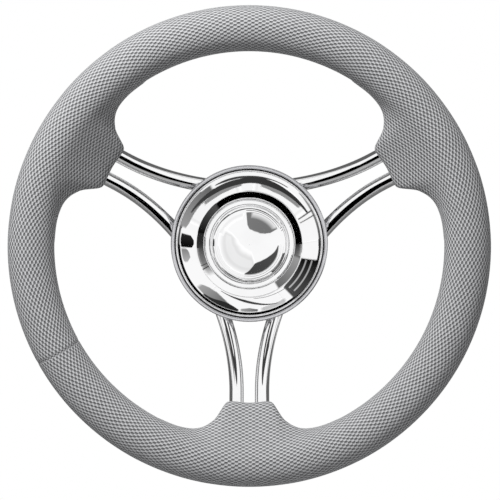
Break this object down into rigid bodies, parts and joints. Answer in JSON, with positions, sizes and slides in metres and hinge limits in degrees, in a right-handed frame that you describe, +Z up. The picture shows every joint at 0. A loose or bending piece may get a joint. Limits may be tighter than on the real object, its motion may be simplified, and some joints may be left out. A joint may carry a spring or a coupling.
{
  "type": "boat steering wheel",
  "caption": "Dished boat steering wheel: textured foam grip over a steel ring, bent polished rods as paired spokes, round polished hub with a domed cap.",
  "frame": {"origin": "middle of the hub boss's rear face, on the shaft axis", "axes": "+Y along the shaft towards the helm, so the face with the cap looks along -Y; +Z up, one pair of spokes straight down; +X to the right of someone at the wheel"},
  "size_m": [0.35, 0.094, 0.35],
  "materials": {
    "grip_foam": "mid-grey self-skinning foam, moulded with a fine woven diamond grain",
    "polished_steel": "mirror polished stainless steel",
    "satin_steel": "satin trim ring",
    "inner_steel": "plain drawn steel",
    "turned_steel": "fine turned",
    "seal_rubber": "black moulded rubber",
    "carrier_plastic": "black moulded plastic"
  },
  "bodies": {
    "root": {"rim_grip": "grip_foam", "rim_core_ring": "inner_steel", "spoke_rod_top": "polished_steel", "spoke_rod_left": "polished_steel", "spoke_rod_right": "polished_steel", "hub_boss": "turned_steel", "hub_cup": "polished_steel", "rod_saddles": "inner_steel", "hub_ring": "satin_steel", "dish_seal": "seal_rubber", "hub_dish": "polished_steel", "dish_posts": "inner_steel", "dish_screws": "inner_steel", "screw_washers": "inner_steel", "cap_bezel": "polished_steel", "cap_seal": "seal_rubber", "cap_dome": "polished_steel", "cap_body": "carrier_plastic"}
  },
  "joints": []
}
